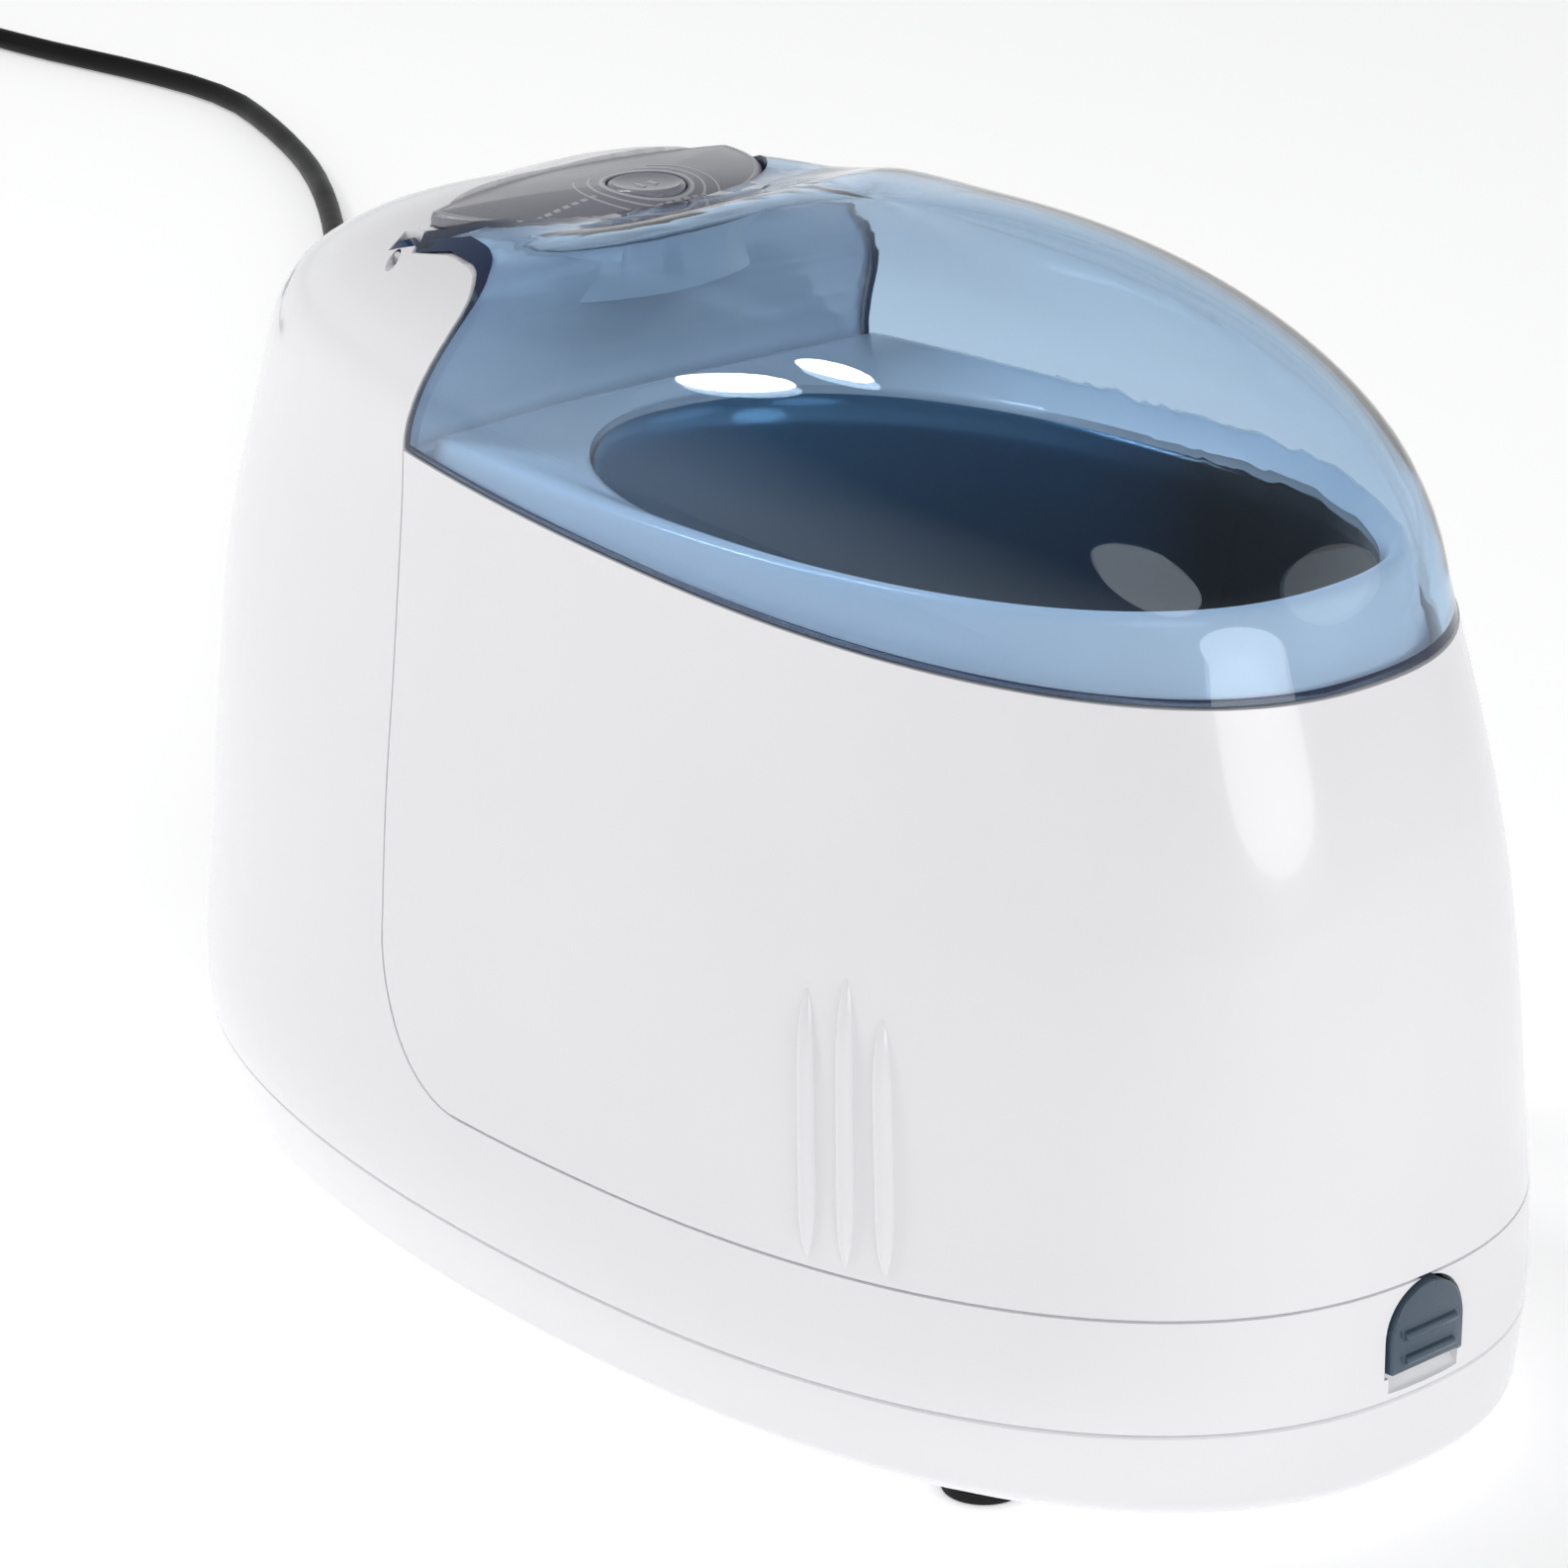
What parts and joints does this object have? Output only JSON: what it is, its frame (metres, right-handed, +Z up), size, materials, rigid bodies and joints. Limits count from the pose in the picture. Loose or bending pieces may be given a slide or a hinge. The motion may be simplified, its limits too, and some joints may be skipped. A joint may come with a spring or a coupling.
{
  "type": "ultrasonic cleaner",
  "caption": "Compact oval ultrasonic cleaner: white L-shaped base and rear column, tank unit with steel basin, hinged clear blue dome lid, top control panel, front latch and mains lead.",
  "frame": {"origin": "on the table under the middle of the machine, its feet at z = 0, the lead not counted", "axes": "+Z up; Y along the machine, the latch end at -Y and the rear column at +Y; X across its width"},
  "size_m": [0.4009, 0.8608, 0.1536],
  "materials": {
    "white_housing": "moulded white ABS, semi-gloss",
    "blue_lid": "clear blue moulded lid, polished",
    "basin_steel": "pressed stainless steel, satin",
    "panel_grey": "satin grey overlay",
    "latch_slate": "dark slate-blue moulding",
    "black_rubber": "soft black rubber",
    "black_pvc": "flexible black PVC",
    "circuit_board": "green solder mask",
    "dark_core": "dark ferrite and iron",
    "bare_aluminium": "machined",
    "piezo_ceramic": "fired ceramic",
    "plug_brass": "plated brass",
    "zinc_steel": "zinc-plated steel"
  },
  "bodies": {
    "base": {"base_housing": "white_housing", "base_socket": "latch_slate", "board_rest": "white_housing", "bottom_cover": "white_housing", "control_board": "circuit_board", "control_panel": "panel_grey", "cord_coil": "black_pvc", "cord_tail": "black_pvc", "cover_screw_1": "zinc_steel", "cover_screw_2": "zinc_steel", "cover_screw_3": "zinc_steel", "cover_screw_4": "zinc_steel", "filter_capacitor": "latch_slate", "foot_1": "black_rubber", "foot_2": "black_rubber", "foot_3": "black_rubber", "foot_4": "black_rubber", "heat_sink": "bare_aluminium", "hinge_pin_left": "zinc_steel", "hinge_pin_right": "zinc_steel", "inductor": "dark_core", "latch_spring": "zinc_steel", "main_board": "circuit_board", "mains_cord": "black_pvc", "mains_plug": "black_pvc", "piezo_ring_1": "piezo_ceramic", "piezo_ring_2": "piezo_ceramic", "plug_blade_1": "plug_brass", "plug_blade_2": "plug_brass", "spring_bracket": "white_housing", "strain_relief": "black_pvc", "tank_basin": "basin_steel", "tank_deck": "white_housing", "tank_plug": "latch_slate", "tank_shell": "white_housing", "transducer_back": "dark_core", "transducer_bolt": "zinc_steel", "transducer_horn": "bare_aluminium"},
    "lid": {"lid": "blue_lid"},
    "power_button": {"power_button": "panel_grey"},
    "latch": {"latch_button": "latch_slate"}
  },
  "joints": [
    {"name": "lid_hinge", "type": "hinge", "parent": "base", "child": "lid", "pos_m": [0, 0.049, 0.1382], "axis": [-1, 0, 0], "range_deg": [0, 95]},
    {"name": "power_button_press", "type": "slide", "parent": "base", "child": "power_button", "axis": [0, 0, -1], "range_m": [0, 0.0006], "stiffness_N_per_m": 800},
    {"name": "latch_press", "type": "slide", "parent": "base", "child": "latch", "axis": [0, 1, 0], "range_m": [0, 0.0025], "stiffness_N_per_m": 300, "deforming": ["latch_spring"]}
  ]
}
